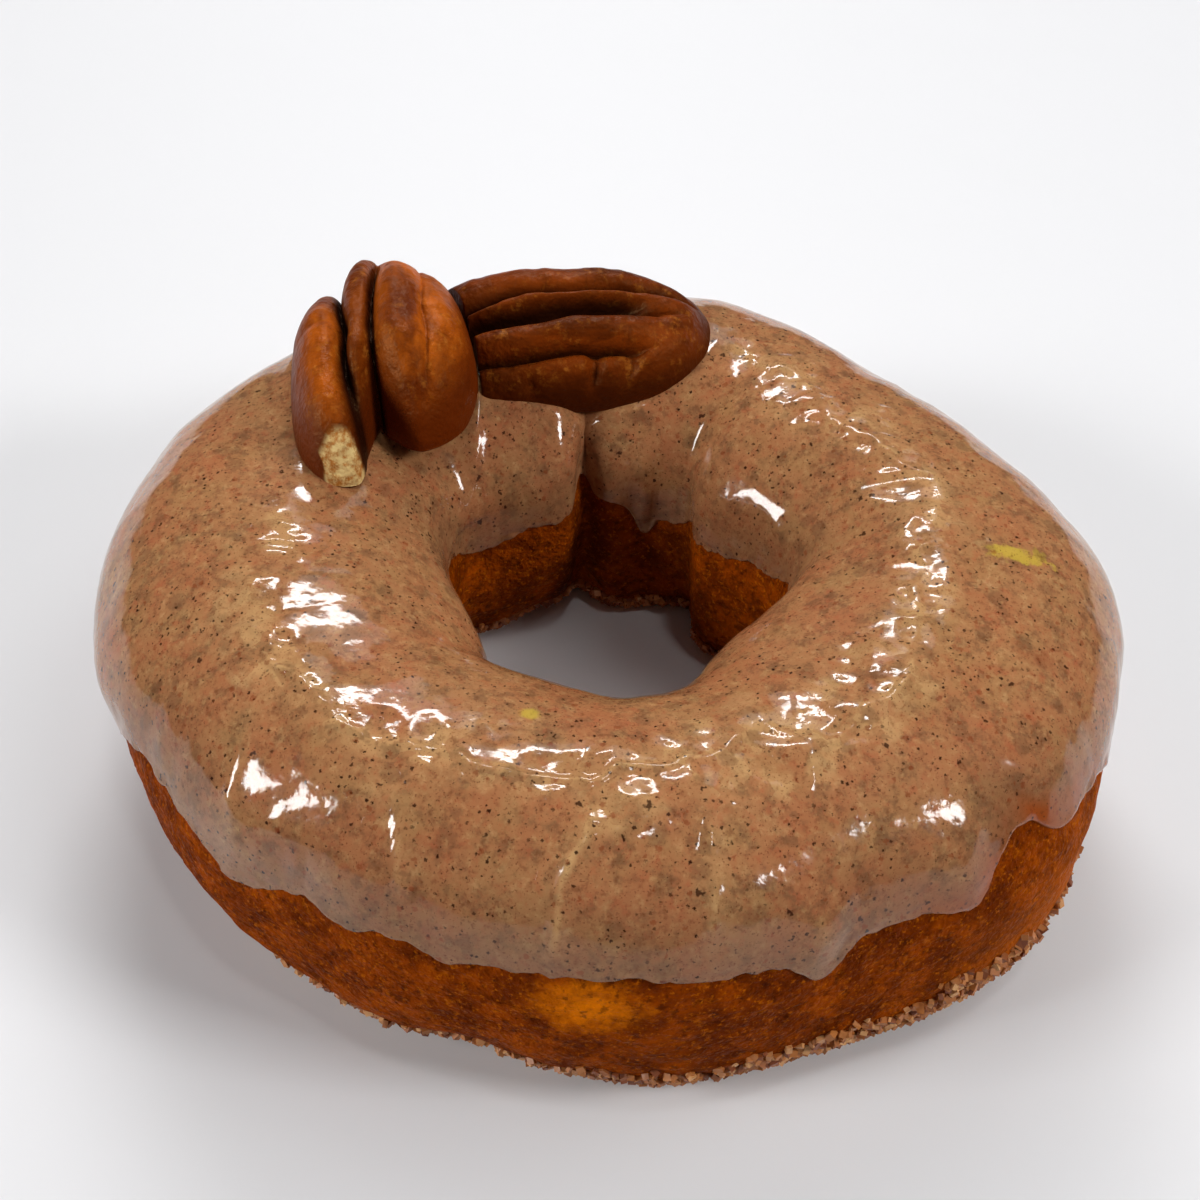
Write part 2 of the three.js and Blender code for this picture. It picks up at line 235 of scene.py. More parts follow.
def even_tilts(angle, first, last, shares):
    """Tilts from first to last whose points lie at these shares of the way along the surface."""
    steps = np.linspace(0.0, 1.0, 300)
    tilts = first[:, None] + (last - first)[:, None] * steps
    points = ring_point(angle[:, None], tilts, 0.0)
    spans = np.linalg.norm(np.diff(points, axis=1), axis=-1)
    way = np.concatenate([np.zeros((len(angle), 1)), np.cumsum(spans, axis=1)], axis=1)
    rows = [np.interp(shares * way[i, -1], way[i], tilts[i]) for i in range(len(angle))]
    return np.array(rows), way[:, -1]


def row_shares(count, density):
    """Shares of the way with more rows where density is higher."""
    fine = np.linspace(0.0, 1.0, 2000)
    total = np.cumsum(density(fine))
    total = (total - total[0]) / (total[-1] - total[0])
    return np.interp(np.linspace(0.0, 1.0, count), total, fine)


def lumps(points, span, seed):
    """Smooth uneven field between -1 and 1, with bumps about as wide as span."""
    size = 32
    table = np.random.default_rng(seed).uniform(-1.0, 1.0, (size, size, size))
    spots = points / span
    cell = np.floor(spots).astype(int)
    part = spots - cell
    part = part * part * (3.0 - 2.0 * part)
    total = np.zeros(points.shape[:-1])
    for step_x in (0, 1):
        for step_y in (0, 1):
            for step_z in (0, 1):
                corner = table[
                    (cell[..., 0] + step_x) % size, (cell[..., 1] + step_y) % size, (cell[..., 2] + step_z) % size
                ]
                weight = np.where(step_x, part[..., 0], 1 - part[..., 0])
                weight = weight * np.where(step_y, part[..., 1], 1 - part[..., 1])
                weight = weight * np.where(step_z, part[..., 2], 1 - part[..., 2])
                total += corner * weight
    return total


def smooth(value, low, high):
    share = np.clip((value - low) / (high - low), 0.0, 1.0)
    return share * share * (3.0 - 2.0 * share)


def outward(points):
    """Normals of a grid of points that closes round its first direction."""
    round_way = np.roll(points, -1, 0) - np.roll(points, 1, 0)
    section_way = np.gradient(points, axis=1)
    normal = np.cross(round_way, section_way)
    return normal / (np.linalg.norm(normal, axis=-1, keepdims=True) + 1e-12)


def glaze_edges(angle):
    """Heights at which the glaze ends, on the outside and in the hole."""
    turn = np.radians(angle)
    rim = np.stack([60 * np.cos(turn), 60 * np.sin(turn), np.zeros_like(turn)], -1)
    ragged = 0.35 * lumps(rim, 5.0, 3) + 0.3 * lumps(rim, 2.0, 4) + 0.14 * lumps(rim, 0.9, 5)
    outer = OUTER_EDGE_HEIGHT + swell(angle, OUTER_RUNS) + ragged
    hole = HOLE_EDGE_HEIGHT + swell(angle, HOLE_RUNS) + 0.6 * ragged
    return outer, hole


def broad_lumps(points):
    """Unevenness that dough and glaze share."""
    return 0.3 * lumps(points, 13.0, 11) + 0.16 * lumps(points, 5.5, 12)


def crust_relief(points):
    """Fine unevenness of the fried crust, longer round the ring than up and down."""
    stretched = points * np.array([1.0, 1.0, 2.2])
    fine = 0.13 * lumps(stretched, 2.6, 21) + 0.07 * lumps(stretched, 1.2, 22)
    pits = np.clip(lumps(stretched, 1.9, 23) - 0.35, 0.0, 1.0)
    return fine - 0.35 * pits


# Folds of the glaze

def wandering(line, random, sway):
    """Points of a fold on the glaze, a millimetre or so apart, swaying from side to side."""
    angle = np.array([stop[0] for stop in line], float)
    radius = np.array([stop[1] for stop in line], float)
    spans = np.hypot(np.radians(np.diff(angle)) * radius[1:], np.diff(radius))
    way = np.concatenate([[0.0], np.cumsum(spans)])
    count = max(int(way[-1] / 1.1), 3)
    steps = np.linspace(0.0, way[-1], count)
    drift = random.normal(0.0, 1.0, count)
    drift = np.convolve(drift, [0.25, 0.5, 0.25], mode="same") * sway
    angles = np.interp(steps, way, angle) + np.degrees(random.normal(0.0, 0.25 * sway, count) / 32.0)
    radii = np.interp(steps, way, radius) + drift
    return ring_point(angles, top_tilt(angles, radii), GLAZE_THICKNESS)


def small_fold(random):
    """A short fold that leaves the crest fold at a slant."""
    at = random.uniform(0, len(CREST_FOLD) - 1.001)
    before = int(at)
    share = at - before
    angle = CREST_FOLD[before][0] * (1 - share) + CREST_FOLD[before + 1][0] * share
    radius = CREST_FOLD[before][1] * (1 - share) + CREST_FOLD[before + 1][1] * share
    radius += random.normal(0.0, 1.6)
    heading = random.uniform(0.0, 2 * math.pi)
    bend = random.normal(0.0, 0.35)
    line = [(angle, radius)]
    for _ in range(random.integers(2, 6)):
        angle += math.degrees(1.4 * math.cos(heading) / radius)
        radius += 1.4 * math.sin(heading) * 0.8
        heading += bend
        line.append((angle, radius))
    return line


def glaze_folds():
    """Every fold as (points, height, half width, share of stretched film beside it, rise of the glaze under it)."""
    random = np.random.default_rng(5)
    folds = [(wandering(CREST_FOLD, random, 0.7), 0.3, 0.34, 1.0, 0.5)]
    for line in FRONT_FOLDS:
        folds.append((wandering(line, random, 0.35), 0.42, 0.58, 0.3, 0.0))
    for _ in range(SMALL_FOLDS):
        line = wandering(small_fold(random), random, 0.3)
        tall = random.uniform(0.08, 0.26)
        folds.append((line, tall, 0.34, min(tall / 0.2, 1.0), 0.0))
    return folds


def near_line(points, line):
    """Distance of each point from a line through points, and where along it from 0 to 1."""
    best = np.full(len(points), 1e9)
    along = np.zeros(len(points))
    for i in range(len(line) - 1):
        way = line[i + 1] - line[i]
        share = np.clip((points - line[i]) @ way / (way @ way + 1e-12), 0.0, 1.0)
        away = np.linalg.norm(points - line[i] - share[:, None] * way, axis=1)
        closer = away < best
        best = np.where(closer, away, best)
        along = np.where(closer, (i + share) / (len(line) - 1), along)
    return best, along


def fold_relief(points):
    """Height of the folds at each point of the glaze, and shares from 0 to 1 of crease and of stretched film."""
    flat = points.reshape(-1, 3)
    height = np.zeros(len(flat))
    crease = np.zeros(len(flat))
    film = np.zeros(len(flat))
    crumple = np.zeros(len(flat))
    strength = 0.75 + 0.5 * lumps(flat, 2.4, 31)
    for line, tall, wide, share, rise in glaze_folds():
        low = line.min(0) - 9.0
        high = line.max(0) + 9.0
        near = np.all((flat > low) & (flat < high), axis=1)
        if not near.any():
            continue
        away, along = near_line(flat[near], line)
        fade = smooth(along, -0.02, 0.12) * smooth(-along, -1.02, -0.88)
        ridge = np.exp(-((away / wide) ** 2)) * fade * strength[near]
        trough = np.exp(-((away / 1.3) ** 2)) * fade
        height[near] = np.maximum(height[near], tall * ridge) - 0.14 * tall * trough
        crease[near] = np.maximum(crease[near], ridge ** 3 * min(tall / 0.26, 1.0))
        film[near] = np.maximum(film[near], np.exp(-((away / 1.25) ** 2)) * fade * share)
        crumple[near] = np.maximum(crumple[near], np.exp(-((away / 3.0) ** 2)) * fade * share)
        height[near] += rise * np.exp(-((away / 4.2) ** 2)) * fade
    height += crumple * (0.3 * lumps(flat, 3.4, 32) + 0.13 * (1 - 2 * np.abs(lumps(flat, 2.0, 33))))
    shape = points.shape[:-1]
    return height.reshape(shape), crease.reshape(shape), film.reshape(shape)


# Pecan halves

def pecan_pose(pecan):
    """Turn and place of a half, as a matrix and the middle of its flat side."""
    turn = math.radians(pecan["turn"])
    roll = math.radians(pecan["roll"])
    turned = np.array([[math.cos(turn), -math.sin(turn), 0], [math.sin(turn), math.cos(turn), 0], [0, 0, 1]])
    rolled = np.array([[1, 0, 0], [0, math.cos(roll), -math.sin(roll)], [0, math.sin(roll), math.cos(roll)]])
    return turned @ rolled, np.array(pecan["middle"])


def pecan_rolls(pecan, along, across):
    """How high each roll between two grooves stands, from 0 in a groove to 1, and the grooves' depth."""
    edges = [np.full_like(across, 1.35)]
    depths = [np.zeros_like(across)]
    for place, drift, bow, depth, start, end in pecan["grooves"]:
        edges.append(place + drift * along - bow * along ** 2)
        depths.append(depth * smooth(along, start, start + 0.3) * (1 - smooth(along, end - 0.35, end)))
    edges.append(np.full_like(across, -1.35))
    depths.append(np.zeros_like(across))
    roll = np.ones_like(across)
    depth = np.zeros_like(across)
    for upper, lower, above, below in zip(edges, edges[1:], depths, depths[1:]):
        inside = (across <= upper) & (across >= lower)
        share = np.clip((across - lower) / np.maximum(upper - lower, 0.01), 0.0, 1.0)
        arch = (4 * share * (1 - share)) ** ROLL_ROUNDNESS
        roll = np.where(inside, arch, roll)
        depth = np.where(inside, below + (above - below) * smooth(share, 0.3, 0.7), depth)
    first, second = edges[1], edges[2]
    ridge = np.where((across < first) & (across > second), roll, 0.0)
    return roll, depth, ridge


def pecan_plan(pecan, along, across):
    """Where a half's points lie in plan: an oval with blunt, scalloped ends."""
    x = along * np.sqrt(1 - across ** 2 / 2)
    y = across * np.sqrt(1 - along ** 2 / 2)
    reach = np.hypot(x, y)
    turn = np.arctan2(y, x)
    upper, lower, far = pecan["blunt"]
    blunt = np.where(along < 0, lower + (upper - lower) * smooth(across, -0.4, 0.4), far)
    blunt = (np.abs(np.cos(turn)) ** blunt + np.abs(np.sin(turn)) ** blunt) ** (-1 / blunt)
    roll, depth, ridge = pecan_rolls(pecan, along, across)
    near = smooth(-along, 0.1, 1.0)
    lobe = smooth(across, 0.1, 0.5)
    trim = pecan["trim"] + pecan["cleft"] * smooth(across, -0.45, 0.1)
    shift = pecan["lobe"] * lobe - trim * near * (1 - lobe)
    shift = shift - ridge ** 0.6 * (pecan["knob"] * smooth(along, 0.5, 1.0) + pecan["short"] * near)
    scallop = 1 - 0.2 * depth * (1 - roll) * along ** 4
    x = pecan["length"] / 2 * blunt * reach * np.cos(turn) * scallop - shift
    y = pecan["width"] / 2 * blunt * reach * np.sin(turn) * (1 - pecan["tip"] * (along + 1))
    return x, y, reach


def pecan_dents(pecan, along, across):
    """Depth of the dents across a half's rolls."""
    depth = np.zeros_like(across)
    for place_along, place_across, long, wide, deep in pecan["dents"]:
        away = ((along - place_along) / long) ** 2 + ((across - place_across) / wide) ** 2
        depth += deep * np.exp(-away)
    return depth


def pecan_top(pecan, along, across, reach):
    """Height of a half's round side, its dome without grooves, how deep in one a point lies, its ridge."""
    roll, depth, ridge = pecan_rolls(pecan, along, across)
    cut = depth * (1 - roll)
    for place, drift, width, deep, end in pecan["valleys"]:
        middle = place + drift * along
        fade = 1 - smooth(along, end - 0.2, end + 0.2)
        cut = cut + deep * fade * np.exp(-(((across - middle) / width) ** 2))
    dome = pecan["crown"] * (1 - np.clip(reach, 0, 1) ** 2.8) ** 0.5
    height = dome * (1 - cut) - pecan_dents(pecan, along, across) * smooth(dome, 0.0, 3.0)
    return height, dome, cut, ridge


def clear_of(points, pecan):
    """Points moved along X out of the way of another half that they would run under."""
    turned, middle = pecan_pose(pecan)
    side = np.linspace(-1, 1, 200)
    one = np.ones_like(side)
    rim_x, rim_y, _ = pecan_plan(pecan, np.concatenate([side, one, side, -one]),
                                 np.concatenate([one, side, -one, side]))
    rim = np.stack([rim_x, rim_y, np.zeros_like(rim_x)], -1) @ turned.T * 1.03 + middle
    levels = np.linspace(rim[:, 1].min() + 0.2, rim[:, 1].max() - 0.2, 120)
    widest = [rim[np.abs(rim[:, 1] - level) < 0.4, 0].max() for level in levels]
    edge = np.interp(points[..., 1], levels, widest, left=-99.0, right=-99.0)
    moved = points.copy()
    moved[..., 0] = np.maximum(points[..., 0], edge)
    return moved


# Meshes

def grid_faces(rows, columns, closed):
    """Four-sided faces of a grid of rows, closed round its rows, and round its columns if closed."""
    row = np.arange(rows)[:, None]
    column = np.arange(columns if closed else columns - 1)[None, :]
    next_row = (row + 1) % rows
    next_column = (column + 1) % columns
    faces = np.stack(
        [row * columns + column, next_row * columns + column,
         next_row * columns + next_column, row * columns + next_column], -1
    )
    return faces.reshape(-1, 4)


def make_piece(name, points, faces, material, marks, rounded=True):
    """A mesh from points in millimetres round the middle of the ring, with its marks as attributes."""
    mesh = bpy.data.meshes.new(name)
    placed = (points.reshape(-1, 3) + np.array(RING_MIDDLE)) * MM
    mesh.from_pydata(placed.tolist(), [], faces.tolist())
    for label, values in marks.items():
        kind = "FLOAT_VECTOR" if values.ndim == 2 else "FLOAT"
        mark = mesh.attributes.new(label, kind, "POINT")
        mark.data.foreach_set("vector" if values.ndim == 2 else "value", values.astype(np.float32).ravel())
    if rounded:
        mesh.shade_smooth()
    mesh.materials.append(material)
    piece = bpy.data.objects.new(name, mesh)
    bpy.context.scene.collection.objects.link(piece)
    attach(piece, "root")
    return piece


def make_glaze(material):
    """The glaze as a closed skin over the ring, with its round lip, folds and crumpled film."""
    count = 600
    angle = np.arange(count) * 360.0 / count
    outer_edge, hole_edge = glaze_edges(angle)

    def density(share):
        crest = 1.3 * np.exp(-(((share - 0.32) / 0.09) ** 2))
        ends = 3.0 * (np.exp(-share / 0.015) + np.exp(-(1 - share) / 0.015))
        return 1.0 + crest + ends

    shares = row_shares(146, density)
    first = edge_tilt(angle, outer_edge, False)
    last = math.pi - edge_tilt(angle, hole_edge, True)
    tilts, way = even_tilts(angle, first, last, shares)
    from_edge = np.minimum(shares, 1 - shares)[None, :] * way[:, None]
    bare = ring_point(angle[:, None], tilts, 0.0)
    rounding = np.sqrt(np.clip(1 - (1 - np.minimum(from_edge / GLAZE_LIP, 1.0)) ** 2, 0.0, 1.0))
    thickness = GLAZE_LIP * rounding + (GLAZE_THICKNESS - GLAZE_LIP) * smooth(from_edge, 0.5, 7.0)
    base = ring_point(angle[:, None], tilts, 1.0)
    normal = outward(base)
    away_from_edge = smooth(from_edge, 0.0, 2.0)
    folds, crease, film = fold_relief(ring_point(angle[:, None], tilts, GLAZE_THICKNESS))
    sag = 0.13 * (1 - np.abs(lumps(bare, 6.5, 41)) * 2)
    sag = sag + 0.045 * lumps(bare, 1.9, 42) + 0.12 * lumps(bare, 4.0, 43) + 0.025 * lumps(bare, 1.1, 45)
    sag = sag + 0.22 * film * (1 - np.abs(lumps(bare, 2.6, 44)) * 2)
    relief = broad_lumps(bare) + crust_relief(bare) * (1 - away_from_edge)
    relief = relief + (sag + folds) * away_from_edge + nut_rise(bare)
    top = bare + normal * (thickness + relief)[..., None]
    under_shares = np.linspace(1.0, 0.0, 14)
    under_tilts, _ = even_tilts(angle, first, last, under_shares)
    under_bare = ring_point(angle[:, None], under_tilts, 0.0)
    under = under_bare - outward(ring_point(angle[:, None], under_tilts, 1.0)) * -0.25
    loops = np.concatenate([top, under], axis=1)
    thin = thin_glaze(bare, from_edge)
    columns = loops.shape[1]
    marks = {
        "from_edge": spread_mark(from_edge, columns),
        "crease": spread_mark(crease, columns),
        "film": spread_mark(film, columns),
        "thin": spread_mark(thin, columns),
    }
    piece = make_piece("glaze_skin", loops, grid_faces(count, columns, True), material, marks)
    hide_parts("glaze")
    return piece


def spread_mark(values, columns):
    """Mark values of the top rows, with zeros for the rows underneath."""
    full = np.zeros((values.shape[0], columns))
    full[:, : values.shape[1]] = values
    return full.ravel()


def thin_glaze(points, from_edge):
    """Where the glaze ran so thin that the dough shows through, from 0 to 1."""
    angle = np.degrees(np.arctan2(points[..., 1], points[..., 0])) % 360
    side = np.exp(-(((angle - 320) / 15) ** 2)) + 0.8 * np.exp(-(((angle - 336) / 12) ** 2))
    edge = smooth(-from_edge, -4.5, -0.5)
    return np.clip(side * edge * (0.6 + 0.7 * lumps(points, 3.0, 51)), 0.0, 1.0)


def nut_rise(points):
    """How far the glaze climbs round the foot of each pecan half."""
    rise = np.zeros(points.shape[:-1])
    for pecan in (PECAN_LEFT, PECAN_BACK):
        turned, middle = pecan_pose(pecan)
        local = (points - middle) @ turned
        reach = np.hypot(local[..., 0] / (pecan["length"] * 0.5), local[..., 1] / (pecan["width"] * 0.48))
        gap = (reach - 1.0) * pecan["width"] * 0.5
        rise += np.where(points[..., 2] > 20, 0.55 * np.exp(-np.abs(gap) / 1.4), 0.0)
    return rise


def make_dough(material):
    """The fried ring: its bare sides in full detail, plainer where the glaze covers it."""
    count = 560
    angle = np.arange(count) * 360.0 / count
    outer_edge, hole_edge = glaze_edges(angle)
    outer_top = edge_tilt(angle, outer_edge + 1.2, False)
    hole_top = math.pi - edge_tilt(angle, hole_edge + 1.2, True)
    foot = np.full(count, math.radians(-70.0))
    hole_foot = np.full(count, math.radians(-110.0))
    sides, _ = even_tilts(angle, foot, outer_top, np.linspace(0, 1, 66))
    covered, _ = even_tilts(angle, outer_top, hole_top, np.linspace(0, 1, 16)[1:-1])
    hole_side, _ = even_tilts(angle, hole_top, hole_foot + 2 * math.pi, np.linspace(0, 1, 52))
    beneath, _ = even_tilts(angle, hole_foot + 2 * math.pi, foot + 2 * math.pi, np.linspace(0, 1, 16)[1:-1])
    tilts = np.concatenate([sides, covered, hole_side, beneath], axis=1)
    bare = ring_point(angle[:, None], tilts, 0.0)
    normal = outward(ring_point(angle[:, None], tilts, 1.0))
    is_outside = np.cos(tilts) > 0
    edge = np.where(is_outside, outer_edge[:, None], hole_edge[:, None])
    under_glaze = smooth(bare[..., 2] - edge, 0.3, 1.1)
    relief = broad_lumps(bare) + crust_relief(bare) - 0.5 * under_glaze
    on_floor = smooth(-bare[..., 2], -1.2, 0.0)
    points = bare + normal * (relief * (1 - on_floor))[..., None]
    points[..., 2] = np.maximum(points[..., 2], 0.12)
    below_edge = np.clip(edge - points[..., 2], 0.0, 30.0)
    turn = np.radians(angle)[:, None] * 45.0
    way = np.stack([np.broadcast_to(turn, tilts.shape), points[..., 2], tilts * 0.0], -1)
    marks = {"below_edge": below_edge.ravel(), "crust_way": way.reshape(-1, 3)}
    columns = tilts.shape[1]
    piece = make_piece("dough_ring", points, grid_faces(count, columns, True), material, marks)
    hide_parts("dough")
    return piece


def sugar_places(random):
    """Angles and tilts of the crystals: thick round the foot outside, a line round the hole, and underneath."""
    count = SUGAR_AT_FOOT
    angle = random.uniform(0.0, 360.0, count)
    rim = np.stack([60 * np.cos(np.radians(angle)), 60 * np.sin(np.radians(angle)), np.zeros(count)], -1)
    thick = swell(angle, SUGAR_DRIFTS)
    reach = 3.2 + thick + 0.9 * lumps(rim, 5.0, 61)
    height = np.clip(reach * random.beta(1.1, 1.5, count) * 1.25, 0.1, 15.0)
    in_hole = random.uniform(0.0, 1.0, count) < 0.2
    height = np.where(in_hole, np.minimum(height, 2.4 * random.uniform(0.0, 1.0, count) + 0.3), height)
    tilt = edge_tilt(angle, height, in_hole)
    tilt = np.where(in_hole, math.pi - tilt, tilt)
    flat_angle = random.uniform(0.0, 360.0, SUGAR_UNDERNEATH)
    flat_tilt = np.radians(random.uniform(-120.0, -60.0, SUGAR_UNDERNEATH))
    return np.concatenate([angle, flat_angle]), np.concatenate([tilt, flat_tilt])


def turned_corners(random, count):
    """Corners of uneven little blocks, each turned its own way."""
    block = np.array([[x, y, z] for x in (-1, 1) for y in (-1, 1) for z in (-1, 1)], float) / 2
    sides = SUGAR_SIZE * random.uniform(0.65, 1.35, (count, 1, 3)) * random.uniform(0.75, 1.25, (count, 1, 1))
    corners = block[None] * (1 + random.uniform(-0.16, 0.16, (count, 8, 3))) * sides
    turns = random.normal(0.0, 1.0, (count, 4))
    turns /= np.linalg.norm(turns, axis=1, keepdims=True)
    w, x, y, z = turns.T
    matrix = np.stack([
        np.stack([1 - 2 * (y * y + z * z), 2 * (x * y - w * z), 2 * (x * z + w * y)], -1),
        np.stack([2 * (x * y + w * z), 1 - 2 * (x * x + z * z), 2 * (y * z - w * x)], -1),
        np.stack([2 * (x * z - w * y), 2 * (y * z + w * x), 1 - 2 * (x * x + y * y)], -1),
    ], 1)
    return np.einsum("nij,nkj->nki", matrix, corners)


def make_sugar(material):
    """Coarse sugar crystals, half sunk in the crust."""
    random = np.random.default_rng(271)
    angle, tilt = sugar_places(random)
    count = len(angle)
    spot = ring_point(angle, tilt, 0.0)
    nudge = 0.02
    round_way = ring_point(angle + nudge, tilt, 0.0) - ring_point(angle - nudge, tilt, 0.0)
    section_way = ring_point(angle, tilt + 1e-3, 1.0) - ring_point(angle, tilt - 1e-3, 1.0)
    normal = np.cross(round_way, section_way)
    normal /= np.linalg.norm(normal, axis=1, keepdims=True) + 1e-12
    lift = broad_lumps(spot) + crust_relief(spot) + SUGAR_SIZE * random.uniform(-0.1, 0.45, count)
    corners = turned_corners(random, count)
    points = corners + (spot + normal * lift[:, None])[:, None, :]
    lowest = points[..., 2].min(1)
    points[..., 2] += np.where(lowest < 0.02, 0.02 - lowest, 0.0)[:, None]
    block_faces = np.array([[0, 1, 3, 2], [4, 6, 7, 5], [0, 4, 5, 1], [2, 3, 7, 6], [0, 2, 6, 4], [1, 5, 7, 3]])
    faces = (block_faces[None] + 8 * np.arange(count)[:, None, None]).reshape(-1, 4)
    shade = np.repeat(random.uniform(0.0, 1.0, count), 8)
    piece = make_piece("sugar_crystals", points, faces, material, {"shade": shade}, rounded=False)
    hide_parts("dough")
    return piece


def make_pecan(name, node, pecan, material, seed, broken_at=None, beside=None):
    """A pecan half: rolls, grooves, fine wrinkles and, on one, a broken end that shows its flesh."""
    along_count = 190
    across_count = 170
    along = np.sin(np.linspace(-0.5, 0.5, along_count) * math.pi)[:, None]
    across = np.sin(np.linspace(-0.5, 0.5, across_count) * math.pi)[None, :]
    along, across = np.broadcast_arrays(along, across)
    x, y, reach = pecan_plan(pecan, along, across)
    height, dome, cut, ridge = pecan_top(pecan, along, across, reach)
    local = np.stack([x, y, height], -1)
    body = smooth(dome, 0.0, 2.5)
    wrinkles = 0.13 * lumps(local * np.array([1.0, 0.4, 0.4]), 1.1, seed)
    rolls = 0.3 * lumps(local * np.array([1.0, 0.6, 0.4]), 4.0, seed + 1)
    pores = 0.04 * lumps(local, 0.6, seed + 2)
    height = height + (wrinkles + rolls + pores) * body
    broken = np.zeros_like(height)
    if broken_at:
        away = np.hypot((x - broken_at[0]) / broken_at[2], (y - broken_at[1]) / broken_at[3])
        ragged = away + 0.25 * lumps(local, 1.4, seed + 3)
        broken = smooth(-ragged, -1.05, -0.85)
        crumble = 0.35 * lumps(local, 0.9, seed + 4) + 0.15 * lumps(local, 0.4, seed + 5)
        height = height - broken * (0.45 - crumble) * body
    arch = PECAN_ARCH * along ** 2
    top = np.stack([x, y, height - arch], -1)
    belly = pecan["belly"] * np.sqrt(1 - np.clip(reach, 0, 1) ** 2)
    belly = belly * (1 + 0.15 * lumps(local, 3.0, seed + 6))
    under = np.stack([x, y, -belly - arch], -1)
    turned, middle = pecan_pose(pecan)
    points = np.concatenate([top.reshape(-1, 3), under.reshape(-1, 3)]) @ turned.T + middle
    if beside:
        points = clear_of(points, beside)
    marks = {
        "groove": np.concatenate([cut.ravel(), np.zeros(cut.size)]),
        "crown": np.concatenate([(dome * (1 - cut)).ravel() / pecan["crown"], np.zeros(cut.size)]),
        "broken": np.concatenate([broken.ravel(), np.zeros(cut.size)]),
        "sunken": np.concatenate([(ridge > 0.01).astype(float).ravel() * (pecan["short"] > 0), np.zeros(cut.size)]),
        "nut_way": np.concatenate([top.reshape(-1, 3), under.reshape(-1, 3)]),
    }
    faces = two_sided_faces(along_count, across_count)
    piece = make_piece(name, points, faces, material, marks)
    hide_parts(node)
    return piece


def two_sided_faces(rows, columns):
    """Faces of two grids of the same outline, back to back, joined round their edges."""
    row = np.arange(rows - 1)[:, None]
    column = np.arange(columns - 1)[None, :]
    corner = row * columns + column
    top = np.stack([corner, corner + columns, corner + columns + 1, corner + 1], -1).reshape(-1, 4)
    under = top[:, ::-1] + rows * columns
    front = np.arange(columns)
    back = (rows - 1) * columns + np.arange(columns)
    left = np.arange(rows) * columns
    right = left + columns - 1
    rim = np.concatenate([front, right[1:], back[::-1][1:], left[::-1][1:-1]])
    after = np.roll(rim, -1)
    skirt = np.stack([rim, after, after + rows * columns, rim + rows * columns], -1)
    return np.concatenate([top, under, skirt])


# Materials

def seen(colour):
    """A shader colour from a colour seen by eye."""
    parts = [part / 255.0 for part in colour]
    linear = [part / 12.92 if part <= 0.04045 else ((part + 0.055) / 1.055) ** 2.4 for part in parts]
    return (*linear, 1.0)


def add_node(tree, kind, **settings):
    made = tree.nodes.new(kind)
    for key, value in settings.items():
        setattr(made, key, value)
    return made


def feed(tree, socket, value):
    """Joins a socket to another, or gives it a plain value."""
    if isinstance(value, bpy.types.NodeSocket):
        tree.links.new(value, socket)
    else:
        socket.default_value = value


def calc(tree, operation, first, second=0.0):
    made = add_node(tree, "ShaderNodeMath", operation=operation)
    feed(tree, made.inputs[0], first)
    feed(tree, made.inputs[1], second)
    return made.outputs[0]


def between(tree, share, low, high):
    """A value that goes evenly from low to high as the share goes from 0 to 1."""
    return calc(tree, "ADD", calc(tree, "MULTIPLY", share, high - low), low)


def ease(tree, value, low, high):
    """0 at low and 1 at high, smooth between."""
    made = add_node(tree, "ShaderNodeMapRange", interpolation_type="SMOOTHSTEP")
    feed(tree, made.inputs["Value"], value)
    made.inputs["From Min"].default_value = low
    made.inputs["From Max"].default_value = high
    return made.outputs["Result"]


def tint(tree, share, under, over):
    """The under colour, with the over colour laid on it by a share."""
    made = add_node(tree, "ShaderNodeMix", data_type="RGBA")
    feed(tree, made.inputs[0], share)
    feed(tree, made.inputs[6], seen(under) if isinstance(under, tuple) else under)
    feed(tree, made.inputs[7], seen(over) if isinstance(over, tuple) else over)
    return made.outputs[2]


def cloud(tree, where, size, seed, detail=2.0, roughness=0.5):
    """Soft noise whose patches are about size millimetres wide."""
    made = add_node(tree, "ShaderNodeTexNoise", noise_dimensions="4D")
    feed(tree, made.inputs["Vector"], where)
    made.inputs["W"].default_value = seed
    made.inputs["Scale"].default_value = 1.0 / (size * MM)
    made.inputs["Detail"].default_value = detail
    made.inputs["Roughness"].default_value = roughness
    return made.outputs[0]


def mark(tree, name):
    """A mark that the mesh carries, as a number."""
    return add_node(tree, "ShaderNodeAttribute", attribute_name=name).outputs["Fac"]


def mark_vector(tree, name, stretch):
    """A mark that the mesh carries, as a place in metres stretched along each direction."""
    made = add_node(tree, "ShaderNodeAttribute", attribute_name=name)
    scaled = add_node(tree, "ShaderNodeVectorMath", operation="MULTIPLY")
    feed(tree, scaled.inputs[0], made.outputs["Vector"])
    scaled.inputs[1].default_value = [part * MM for part in stretch]
    return scaled.outputs["Vector"]


